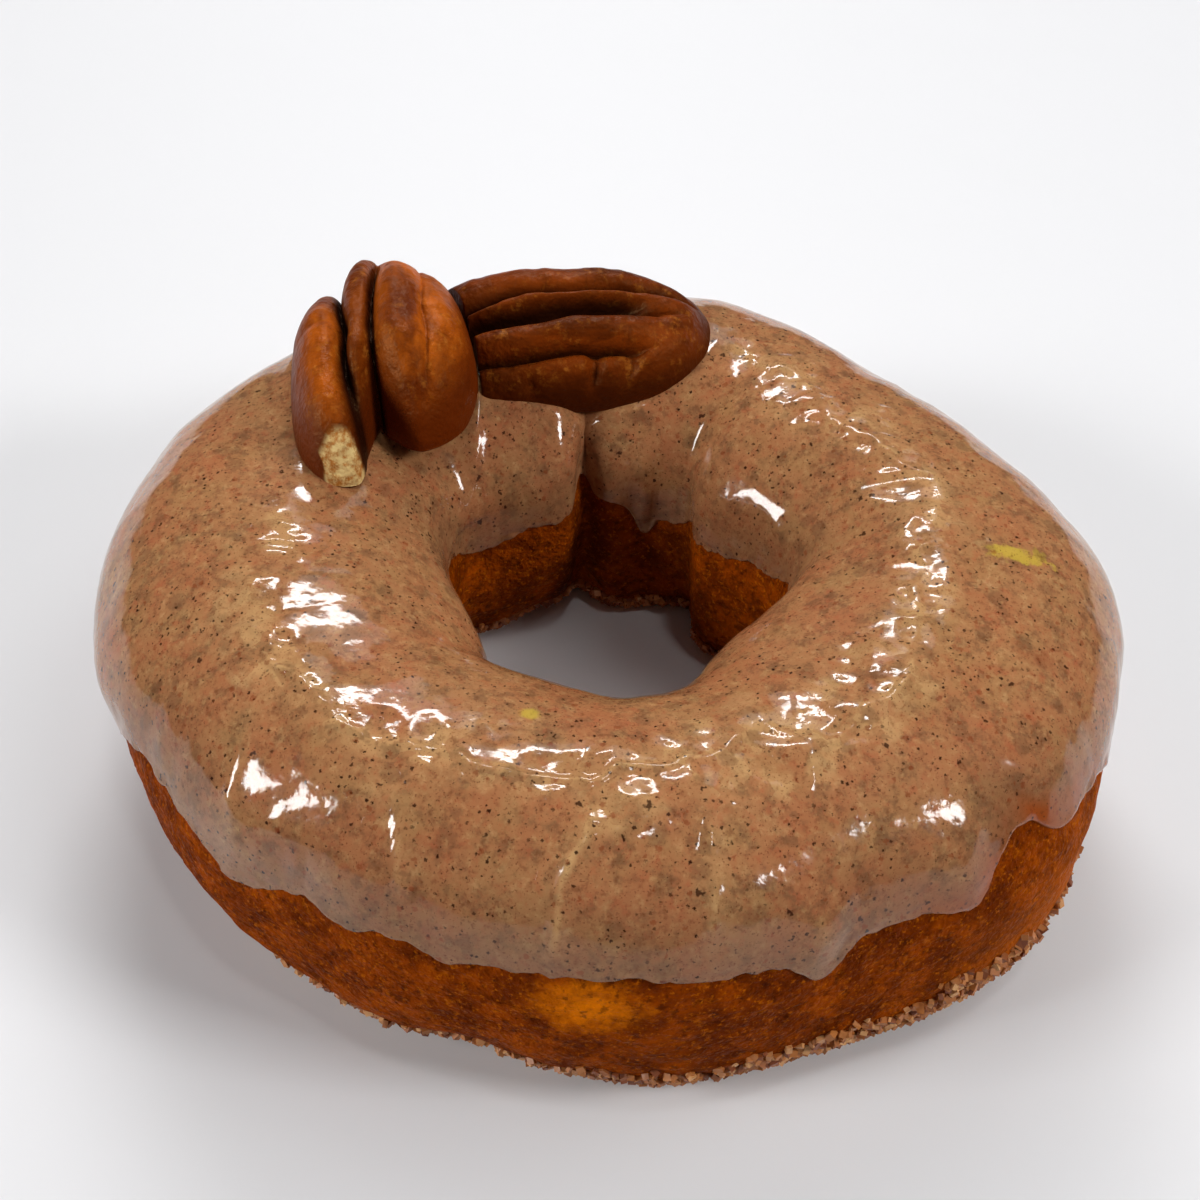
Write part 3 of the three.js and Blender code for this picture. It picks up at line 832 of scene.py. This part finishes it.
def spot(tree, where, uneven, centre, reach, ragged, softness=0.4):
    """1 inside a ragged patch round a place in millimetres, 0 outside it, with its reach along X, Y and Z."""
    away = add_node(tree, "ShaderNodeVectorMath", operation="SUBTRACT")
    feed(tree, away.inputs[0], where)
    away.inputs[1].default_value = [(part + middle) * MM for part, middle in zip(centre, RING_MIDDLE)]
    scaled = add_node(tree, "ShaderNodeVectorMath", operation="DIVIDE")
    feed(tree, scaled.inputs[0], away.outputs["Vector"])
    scaled.inputs[1].default_value = [part * MM for part in reach]
    length = add_node(tree, "ShaderNodeVectorMath", operation="LENGTH")
    feed(tree, length.inputs[0], scaled.outputs["Vector"])
    rough = calc(tree, "MULTIPLY", calc(tree, "SUBTRACT", uneven, 0.5), ragged)
    return ease(tree, calc(tree, "ADD", length.outputs["Value"], rough), 1.0, 1.0 - softness)


def new_group(name, inputs, outputs):
    """A node group with named inputs and outputs."""
    group = bpy.data.node_groups.new(name, "ShaderNodeTree")
    for label, kind, value in inputs:
        socket = group.interface.new_socket(label, in_out="INPUT", socket_type=kind)
        if value is not None:
            socket.default_value = value
    for label in outputs:
        group.interface.new_socket(label, in_out="OUTPUT", socket_type="NodeSocketFloat")
    source = group.nodes.new("NodeGroupInput")
    sink = group.nodes.new("NodeGroupOutput")
    return group, source.outputs, sink.inputs


def specks_group():
    """Specks of ground spice: a ragged dot in some of the cells of an uneven grid."""
    inputs = [
        ("Where", "NodeSocketVector", None), ("Spacing", "NodeSocketFloat", 1.2),
        ("Radius", "NodeSocketFloat", 0.2), ("Share", "NodeSocketFloat", 0.8),
    ]
    group, source, sink = new_group("spice_specks", inputs, ["Mask"])
    scaled = add_node(group, "ShaderNodeVectorMath", operation="SCALE")
    feed(group, scaled.inputs[0], source["Where"])
    feed(group, scaled.inputs["Scale"], calc(group, "DIVIDE", 1.0 / MM, source["Spacing"]))
    bend = add_node(group, "ShaderNodeTexNoise")
    feed(group, bend.inputs["Vector"], scaled.outputs["Vector"])
    bend.inputs["Scale"].default_value = 4.5
    bend.inputs["Detail"].default_value = 1.0
    shifted = add_node(group, "ShaderNodeVectorMath", operation="MULTIPLY_ADD")
    feed(group, shifted.inputs[0], bend.outputs["Color"])
    shifted.inputs[1].default_value = (0.5, 0.5, 0.5)
    feed(group, shifted.inputs[2], scaled.outputs["Vector"])
    cells = add_node(group, "ShaderNodeTexVoronoi", feature="F1")
    feed(group, cells.inputs["Vector"], shifted.outputs["Vector"])
    cells.inputs["Scale"].default_value = 1.0
    parts = add_node(group, "ShaderNodeSeparateColor")
    feed(group, parts.inputs["Color"], cells.outputs["Color"])
    radius = calc(group, "MULTIPLY", source["Radius"], calc(group, "ADD", parts.outputs["Green"], 0.5))
    depth = calc(group, "DIVIDE", cells.outputs["Distance"], radius)
    inside = ease(group, depth, 1.25, 0.7)
    chosen = calc(group, "LESS_THAN", parts.outputs["Red"], source["Share"])
    feed(group, sink["Mask"], calc(group, "MULTIPLY", inside, chosen))
    return group


def facets_group():
    """Facets of stretched glaze: a share picked for each, and its tilt as a height."""
    inputs = [("Where", "NodeSocketVector", None), ("Spacing", "NodeSocketFloat", 1.6)]
    group, source, sink = new_group("film_facets", inputs, ["Pick", "Tilt"])
    scaled = add_node(group, "ShaderNodeVectorMath", operation="SCALE")
    feed(group, scaled.inputs[0], source["Where"])
    feed(group, scaled.inputs["Scale"], calc(group, "DIVIDE", 1.0 / MM, source["Spacing"]))
    bend = add_node(group, "ShaderNodeTexNoise")
    feed(group, bend.inputs["Vector"], scaled.outputs["Vector"])
    bend.inputs["Scale"].default_value = 1.6
    shifted = add_node(group, "ShaderNodeVectorMath", operation="MULTIPLY_ADD")
    feed(group, shifted.inputs[0], bend.outputs["Color"])
    shifted.inputs[1].default_value = (0.5, 0.5, 0.5)
    feed(group, shifted.inputs[2], scaled.outputs["Vector"])
    cells = add_node(group, "ShaderNodeTexVoronoi", feature="F1")
    feed(group, cells.inputs["Vector"], shifted.outputs["Vector"])
    cells.inputs["Scale"].default_value = 1.0
    away = add_node(group, "ShaderNodeVectorMath", operation="SUBTRACT")
    feed(group, away.inputs[0], shifted.outputs["Vector"])
    feed(group, away.inputs[1], cells.outputs["Position"])
    lean = add_node(group, "ShaderNodeVectorMath", operation="SUBTRACT")
    feed(group, lean.inputs[0], cells.outputs["Color"])
    lean.inputs[1].default_value = (0.5, 0.5, 0.5)
    slope = add_node(group, "ShaderNodeVectorMath", operation="DOT_PRODUCT")
    feed(group, slope.inputs[0], away.outputs["Vector"])
    feed(group, slope.inputs[1], lean.outputs["Vector"])
    parts = add_node(group, "ShaderNodeSeparateColor")
    feed(group, parts.inputs["Color"], cells.outputs["Color"])
    feed(group, sink["Pick"], parts.outputs["Green"])
    feed(group, sink["Tilt"], calc(group, "MULTIPLY", slope.outputs["Value"], source["Spacing"]))
    return group


def relief_group():
    """Fine unevenness as a height in millimetres: a coarse part and a fine part."""
    inputs = [
        ("Where", "NodeSocketVector", None), ("Coarse", "NodeSocketFloat", 1.0),
        ("Fine", "NodeSocketFloat", 0.3), ("Depth", "NodeSocketFloat", 0.05),
    ]
    group, source, sink = new_group("fine_relief", inputs, ["Height"])
    total = None
    for label, weight in (("Coarse", 1.0), ("Fine", 0.45)):
        scaled = add_node(group, "ShaderNodeVectorMath", operation="SCALE")
        feed(group, scaled.inputs[0], source["Where"])
        feed(group, scaled.inputs["Scale"], calc(group, "DIVIDE", 1.0 / MM, source[label]))
        bumps = add_node(group, "ShaderNodeTexNoise")
        feed(group, bumps.inputs["Vector"], scaled.outputs["Vector"])
        bumps.inputs["Scale"].default_value = 1.0
        bumps.inputs["Detail"].default_value = 2.0
        part = calc(group, "MULTIPLY", bumps.outputs[0], weight)
        total = part if total is None else calc(group, "ADD", total, part)
    feed(group, sink["Height"], calc(group, "MULTIPLY", total, source["Depth"]))
    return group


def use_group(tree, group, **values):
    made = add_node(tree, "ShaderNodeGroup", node_tree=group)
    for label, value in values.items():
        feed(tree, made.inputs[label], value)
    return made.outputs


def new_material(name):
    """A material with its surface shader, its object coordinates and a bump whose height is millimetres."""
    material = bpy.data.materials.new(name)
    material.use_nodes = True
    tree = material.node_tree
    tree.nodes.clear()
    surface = add_node(tree, "ShaderNodeBsdfPrincipled")
    output = add_node(tree, "ShaderNodeOutputMaterial")
    bump = add_node(tree, "ShaderNodeBump")
    bump.inputs["Distance"].default_value = MM
    tree.links.new(bump.outputs["Normal"], surface.inputs["Normal"])
    tree.links.new(surface.outputs["BSDF"], output.inputs["Surface"])
    where = add_node(tree, "ShaderNodeTexCoord").outputs["Object"]
    return material, tree, surface, bump, where


def glaze_material(specks, facets, relief):
    """Set spice glaze: tan, clouded rose and olive, greyer and darker low down with painted shade, full of ground
    spice, glossy.
    """
    material, tree, surface, bump, where = new_material("spice_glaze")
    from_edge = mark(tree, "from_edge")
    crease = mark(tree, "crease")
    film = mark(tree, "film")
    rose = ease(tree, cloud(tree, where, 6.0, 1.0, 4.0, 0.6), 0.4, 0.64)
    colour = tint(tree, calc(tree, "MULTIPLY", rose, 0.5), GLAZE_TAN, GLAZE_ROSE)
    olive = ease(tree, cloud(tree, where, 4.0, 2.0, 4.0, 0.6), 0.46, 0.66)
    colour = tint(tree, calc(tree, "MULTIPLY", olive, 0.45), colour, GLAZE_OLIVE)
    mottle = ease(tree, cloud(tree, where, 1.7, 11.0, 4.0, 0.7), 0.45, 0.7)
    colour = tint(tree, calc(tree, "MULTIPLY", mottle, 0.7), colour, SPICE_GREY)
    blush = ease(tree, cloud(tree, where, 1.2, 12.0, 4.0, 0.7), 0.5, 0.68)
    colour = tint(tree, calc(tree, "MULTIPLY", blush, 0.42), colour, GLAZE_BLUSH)
    milky = ease(tree, cloud(tree, where, 1.0, 13.0, 4.0, 0.7), 0.5, 0.7)
    colour = tint(tree, calc(tree, "MULTIPLY", milky, 0.35), colour, GLAZE_CREAM)
    # painted shade: the glaze greyed and darkened towards its lower edges, where shade falls
    low = calc(tree, "MULTIPLY", ease(tree, from_edge, 9.0, 0.5), 0.55)
    colour = tint(tree, low, colour, GLAZE_PAINTED_SHADE_LOW)
    colour = tint(tree, mark(tree, "thin"), colour, GLAZE_THIN)
    folded = use_group(tree, facets, Where=where, Spacing=1.9)
    pale = calc(tree, "ADD", calc(tree, "MULTIPLY", ease(tree, folded["Pick"], 0.3, 0.7), 0.35), 0.2)
    pale = calc(tree, "MAXIMUM", calc(tree, "MULTIPLY", pale, film), calc(tree, "MULTIPLY", crease, 0.75))
    colour = tint(tree, pale, colour, GLAZE_CREAM)
    uneven = cloud(tree, where, 1.4, 9.0, 4.0, 0.65)
    smear = spot(tree, where, uneven, (36.8, -3.8, 29.6), (4.2, 1.5, 2.0), 2.2, 0.5)
    dot = spot(tree, where, uneven, (-5.7, -24.7, 30.4), (1.0, 1.0, 1.0), 1.4, 0.6)
    colour = tint(tree, calc(tree, "MULTIPLY", calc(tree, "MAXIMUM", smear, dot), 0.75), colour, SMEAR_YELLOW)
    stain = spot(tree, where, uneven, (36.0, -15.5, 28.0), (3.2, 2.2, 3.0), 1.6, 0.8)
    colour = tint(tree, calc(tree, "MULTIPLY", stain, 0.6), colour, SPICE_RUST)
    smudge = use_group(tree, specks, Where=where, Spacing=2.4, Radius=0.28, Share=0.7)
    colour = tint(tree, calc(tree, "MULTIPLY", smudge["Mask"], 0.4), colour, SPICE_GREY)
    grainy = ease(tree, cloud(tree, where, 0.6, 15.0, 3.0, 0.6), 0.5, 0.74)
    colour = tint(tree, calc(tree, "MULTIPLY", grainy, 0.5), colour, SPICE_BROWN)
    crowd = ease(tree, cloud(tree, where, 3.0, 14.0, 3.0), 0.3, 0.62)
    dust = ease(tree, cloud(tree, where, 0.2, 16.0, 2.0), 0.6, 0.68)
    colour = tint(tree, calc(tree, "MULTIPLY", dust, 0.6), colour, SPICE_BROWN)
    coarse = use_group(tree, specks, Where=where, Spacing=0.66, Radius=0.17, Share=0.85)
    colour = tint(tree, calc(tree, "MULTIPLY", coarse["Mask"], between(tree, crowd, 0.45, 0.95)), colour, SPICE_DARK)
    rusty = use_group(tree, specks, Where=where, Spacing=1.1, Radius=0.17, Share=0.6)
    colour = tint(tree, calc(tree, "MULTIPLY", rusty["Mask"], 0.5), colour, SPICE_RUST)
    large = use_group(tree, specks, Where=where, Spacing=1.9, Radius=0.1, Share=0.7)
    colour = tint(tree, calc(tree, "MULTIPLY", large["Mask"], 0.85), colour, SPICE_DARK)
    feed(tree, surface.inputs["Base Color"], colour)
    feed(tree, surface.inputs["Roughness"], between(tree, cloud(tree, where, 1.2, 4.0, 3.0), 0.02, 0.16))
    surface.inputs["IOR"].default_value = 1.4
    height = use_group(tree, relief, Where=where, Coarse=1.9, Fine=0.8, Depth=0.04)["Height"]
    creased = calc(tree, "MULTIPLY", folded["Tilt"], 0.1)
    height = calc(tree, "ADD", height, calc(tree, "MULTIPLY", creased, film))
    feed(tree, bump.inputs["Height"], height)
    return material


def crust_material(relief):
    """Fried crust: orange brown, streaked along the ring, darker in its pits and golden where it is thin, with
    painted shade on a flank of the hole's recess and over the back, and painted light on its right side.
    """
    material, tree, surface, bump, where = new_material("fried_crust")
    streak = mark_vector(tree, "crust_way", (0.6, 1.0, 1.0))
    colour = tint(tree, ease(tree, cloud(tree, where, 4.0, 1.0, 4.0, 0.6), 0.35, 0.65), CRUST_BROWN, CRUST_ORANGE)
    golden = ease(tree, cloud(tree, where, 0.8, 2.0, 4.0, 0.65), 0.52, 0.72)
    colour = tint(tree, calc(tree, "MULTIPLY", golden, 0.45), colour, CRUST_GOLD)
    dark = ease(tree, cloud(tree, streak, 2.0, 3.0, 4.0, 0.65), 0.5, 0.7)
    uneven = cloud(tree, where, 1.4, 9.0, 4.0, 0.65)
    # painted shade: the crust darkened on a flank of the recess in the hole, where shade falls
    painted_recess_shade = spot(tree, where, uneven, (-4.8, 15.5, 11.0), (2.4, 3.6, 12.0), 0.3, 0.6)
    dark = calc(tree, "MAXIMUM", calc(tree, "MULTIPLY", dark, 0.6), calc(tree, "MULTIPLY", painted_recess_shade, 0.85))
    colour = tint(tree, dark, colour, CRUST_DARK)
    bright = spot(tree, where, uneven, (-0.4, -43.5, 18.0), (6.0, 8.0, 4.2), 1.4, 1.0)
    colour = tint(tree, calc(tree, "MULTIPLY", bright, 0.85), colour, CRUST_AMBER)
    pit = ease(tree, cloud(tree, where, 0.7, 8.0, 3.0, 0.6), 0.48, 0.34)
    colour = tint(tree, calc(tree, "MULTIPLY", pit, 0.6), colour, CRUST_DARK)
    # painted light: the crust lightened and made more golden on its right side, where the light from the right falls
    painted_light_right = spot(tree, where, uneven, (42.0, -22.0, 9.0), (24.0, 24.0, 16.0), 0.4, 1.0)
    colour = tint(tree, calc(tree, "MULTIPLY", painted_light_right, 0.6), colour, CRUST_PAINTED_LIGHT)
    # painted shade: the crust over the back darkened and browned against the strong light from behind
    behind = spot(tree, where, uneven, (0.0, 48.0, 12.0), (75.0, 45.0, 40.0), 0.3, 1.0)
    colour = tint(tree, calc(tree, "MULTIPLY", behind, 0.75), colour, CRUST_PAINTED_SHADE_BEHIND)
    grain = ease(tree, cloud(tree, where, 0.38, 6.0, 3.0, 0.6), 0.55, 0.7)
    colour = tint(tree, calc(tree, "MULTIPLY", grain, 0.6), colour, CRUST_GOLD)
    feed(tree, surface.inputs["Base Color"], colour)
    shine = ease(tree, cloud(tree, where, 0.5, 5.0, 2.0), 0.6, 0.4)
    feed(tree, surface.inputs["Roughness"], between(tree, shine, 0.45, 0.75))
    surface.inputs["IOR"].default_value = 1.07
    height = use_group(tree, relief, Where=where, Coarse=1.1, Fine=0.35, Depth=0.5)["Height"]
    feed(tree, bump.inputs["Height"], height)
    return material


def sugar_material():
    """Sugar crystals stained by cinnamon: some pale, most golden, a few brown."""
    material, tree, surface, bump, where = new_material("cinnamon_sugar")
    shade = mark(tree, "shade")
    colour = tint(tree, ease(tree, shade, 0.0, 0.45), SUGAR_BROWN, SUGAR_GOLD)
    colour = tint(tree, ease(tree, shade, 0.72, 1.0), colour, SUGAR_PALE)
    stain = ease(tree, cloud(tree, where, 1.2, 1.0), 0.5, 0.7)
    colour = tint(tree, calc(tree, "MULTIPLY", stain, 0.5), colour, SUGAR_BROWN)
    feed(tree, surface.inputs["Base Color"], colour)
    feed(tree, surface.inputs["Roughness"], between(tree, cloud(tree, where, 0.4, 2.0), 0.3, 0.7))
    feed(tree, bump.inputs["Height"], calc(tree, "MULTIPLY", cloud(tree, where, 0.15, 3.0), 0.02))
    return material


def nut_material(name, relief, amber, brown):
    """Toasted pecan skin: amber on the crowns, partly its own tone and partly painted highlight, dark in the
    grooves, freckled, pale where it is broken.
    """
    material, tree, surface, bump, where = new_material(name)
    groove = mark(tree, "groove")
    along = mark_vector(tree, "nut_way", (0.3, 1.0, 1.0))
    across = mark_vector(tree, "nut_way", (1.0, 0.35, 0.5))
    # partly painted highlight: the crowns of the rolls lighter amber than the browner sides, partly the skin's own
    # tone
    crown = ease(tree, mark(tree, "crown"), 0.35, 0.95)
    crown = calc(tree, "MULTIPLY", crown, ease(tree, cloud(tree, along, 3.2, 1.0, 4.0, 0.6), 0.3, 0.6))
    colour = tint(tree, crown, brown, amber)
    bands = ease(tree, cloud(tree, across, 1.3, 2.0, 4.0, 0.6), 0.5, 0.74)
    colour = tint(tree, calc(tree, "MULTIPLY", bands, 0.6), colour, brown)
    deep = ease(tree, cloud(tree, along, 4.5, 12.0, 3.0, 0.6), 0.5, 0.66)
    colour = tint(tree, calc(tree, "MULTIPLY", deep, 0.5), colour, NUT_SUNKEN)
    colour = tint(tree, calc(tree, "MULTIPLY", mark(tree, "sunken"), 0.6), colour, NUT_SUNKEN)
    worn = ease(tree, cloud(tree, where, 0.9, 3.0, 5.0, 0.7), 0.5, 0.7)
    worn = calc(tree, "MULTIPLY", worn, ease(tree, cloud(tree, where, 6.0, 8.0), 0.4, 0.58))
    worn = calc(tree, "MULTIPLY", worn, ease(tree, mark(tree, "crown"), 0.3, 0.8))
    colour = tint(tree, calc(tree, "MULTIPLY", worn, 0.45), colour, NUT_WORN)
    freckle = ease(tree, cloud(tree, where, 0.5, 9.0, 3.0, 0.6), 0.6, 0.72)
    colour = tint(tree, calc(tree, "MULTIPLY", freckle, 0.35), colour, NUT_DARK)
    colour = tint(tree, ease(tree, groove, 0.1, 0.42), colour, NUT_DARK)
    flesh = tint(tree, ease(tree, cloud(tree, where, 0.9, 6.0, 4.0, 0.7), 0.4, 0.62), NUT_FLESH, NUT_BRAN)
    colour = tint(tree, mark(tree, "broken"), colour, flesh)
    feed(tree, surface.inputs["Base Color"], colour)
    feed(tree, surface.inputs["Roughness"], between(tree, cloud(tree, where, 0.9, 7.0, 4.0), 0.3, 0.66))
    surface.inputs["Specular IOR Level"].default_value = 0.2
    surface.inputs["Specular Tint"].default_value = seen(NUT_SHEEN)
    height = use_group(tree, relief, Where=where, Coarse=1.5, Fine=0.45, Depth=0.26)["Height"]
    feed(tree, bump.inputs["Height"], height)
    return material


def floor_material():
    """Plain pale table top."""
    material, tree, surface, bump, where = new_material("pale_table")
    surface.inputs["Base Color"].default_value = seen(FLOOR_PALE)
    surface.inputs["Roughness"].default_value = 0.5
    return material


# Table, lights and camera

def make_floor(material):
    mesh = bpy.data.meshes.new("table_top")
    half = 1.5
    mesh.from_pydata([(-half, -half, 0), (half, -half, 0), (half, half, 0), (-half, half, 0)], [], [(0, 1, 2, 3)])
    mesh.materials.append(material)
    floor = bpy.data.objects.new("table_top", mesh)
    bpy.context.scene.collection.objects.link(floor)


def add_light(name, direction, distance, size, power, glossy=True, diffuse=True):
    """A soft panel at a distance in metres from the doughnut, facing it."""
    light = bpy.data.lights.new(name, "AREA")
    light.shape = "RECTANGLE"
    light.size, light.size_y = size
    light.energy = power
    lamp = bpy.data.objects.new(name, light)
    way = Vector(direction).normalized()
    lamp.location = way * distance
    lamp.rotation_euler = way.to_track_quat("Z", "Y").to_euler()
    lamp.visible_camera = False
    lamp.visible_glossy = glossy
    lamp.visible_diffuse = diffuse
    bpy.context.scene.collection.objects.link(lamp)


def make_lights():
    """Windows to the left, right and behind, softer light from above, and none from the front."""
    add_light("soft_behind", (-0.10, 0.78, 0.62), 0.7, (0.30, 0.30), 2.2, glossy=False)
    add_light("soft_right", (0.78, -0.24, 0.58), 0.65, (0.16, 0.16), 2.0, glossy=False)
    add_light("soft_left", (-0.80, -0.32, 0.51), 0.65, (0.20, 0.14), 2.1, glossy=False)
    add_light("high_right", (0.49, 0.09, 0.87), 0.7, (0.30, 0.30), 0.8, glossy=False)
    add_light("high_behind", (0.0, 0.5, 0.87), 0.7, (0.30, 0.30), 0.45, glossy=False)
    add_light("window_behind", (-0.05, 0.64, 0.77), 0.7, (0.23, 0.06), 1.3, diffuse=False)
    add_light("window_right", (0.69, -0.30, 0.66), 0.65, (0.09, 0.13), 1.2, diffuse=False)
    add_light("window_left", (-0.80, -0.32, 0.45), 0.65, (0.15, 0.26), 3.7, diffuse=False)
    add_light("sheen_behind", (0.1, 0.68, 0.73), 0.7, (0.34, 0.20), 0.3)
    add_light("panel_over", (0.1, -0.16, 0.98), 0.7, (0.05, 0.05), 0.25)
    world = bpy.data.worlds.new("room")
    world.use_nodes = True
    world.node_tree.nodes["Background"].inputs["Color"].default_value = (1.0, 1.0, 1.0, 1.0)
    world.node_tree.nodes["Background"].inputs["Strength"].default_value = 0.06
    bpy.context.scene.world = world


def make_camera():
    """The photograph's view: from the front, 46 degrees above the table, with a slight roll."""
    camera = bpy.data.cameras.new("camera")
    camera.lens = CAMERA_LENS
    camera.sensor_width = 36.0
    camera.shift_x = -4.0 / 1200.0
    camera.shift_y = 36.0 / 1200.0
    camera.clip_start = 0.01
    camera.clip_end = 20.0
    holder = bpy.data.objects.new("camera", camera)
    lift = math.radians(CAMERA_ELEVATION)
    holder.location = (
        RING_MIDDLE[0] * MM,
        (RING_MIDDLE[1] - CAMERA_DISTANCE * math.cos(lift)) * MM,
        (CAMERA_AIM_HEIGHT + CAMERA_DISTANCE * math.sin(lift)) * MM,
    )
    holder.rotation_mode = "XYZ"
    turned = Matrix.Rotation(math.pi / 2 - lift, 4, "X") @ Matrix.Rotation(math.radians(CAMERA_ROLL), 4, "Z")
    holder.rotation_euler = turned.to_euler()
    bpy.context.scene.collection.objects.link(holder)
    bpy.context.scene.camera = holder


specks = specks_group()
facets = facets_group()
relief = relief_group()
make_dough(crust_material(relief))
make_glaze(glaze_material(specks, facets, relief))
make_sugar(sugar_material())
left_skin = nut_material("pecan_skin_amber", relief, NUT_AMBER, NUT_BROWN)
back_skin = nut_material("pecan_skin_brown", relief, NUT_CHESTNUT, NUT_UMBER)
make_pecan("pecan_left_half", "pecan_left", PECAN_LEFT, left_skin, 71, broken_at=(-15.6, 4.6, 2.2, 2.3))
make_pecan("pecan_back_half", "pecan_back", PECAN_BACK, back_skin, 81, beside=PECAN_LEFT)
make_floor(floor_material())
make_lights()
make_camera()
bpy.context.scene.view_settings.view_transform = "Standard"
